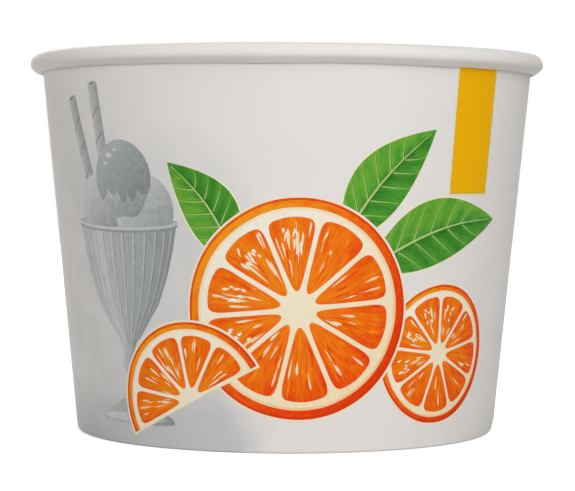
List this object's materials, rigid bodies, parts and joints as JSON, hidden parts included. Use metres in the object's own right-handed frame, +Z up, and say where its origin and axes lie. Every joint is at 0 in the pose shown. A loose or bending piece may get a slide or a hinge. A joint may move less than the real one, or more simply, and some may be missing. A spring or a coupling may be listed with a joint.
{
  "type": "paper ice cream cup",
  "caption": "Squat paper tub for ice cream with a rolled rim, a lapped side seam, a recessed base and a fruit print.",
  "frame": {"origin": "middle of the foot ring, on the table", "axes": "+Z up along the cup's axis, the printed front faces -Y and the side seam faces +Y"},
  "size_m": [0.098, 0.098, 0.0715],
  "materials": {
    "printed_board": "white paper board with a satin coating and a printed outside",
    "plain_board": "unprinted white paper board with a satin coating"
  },
  "bodies": {
    "root": {"side_wall": "printed_board", "base_disc": "plain_board"}
  },
  "joints": []
}
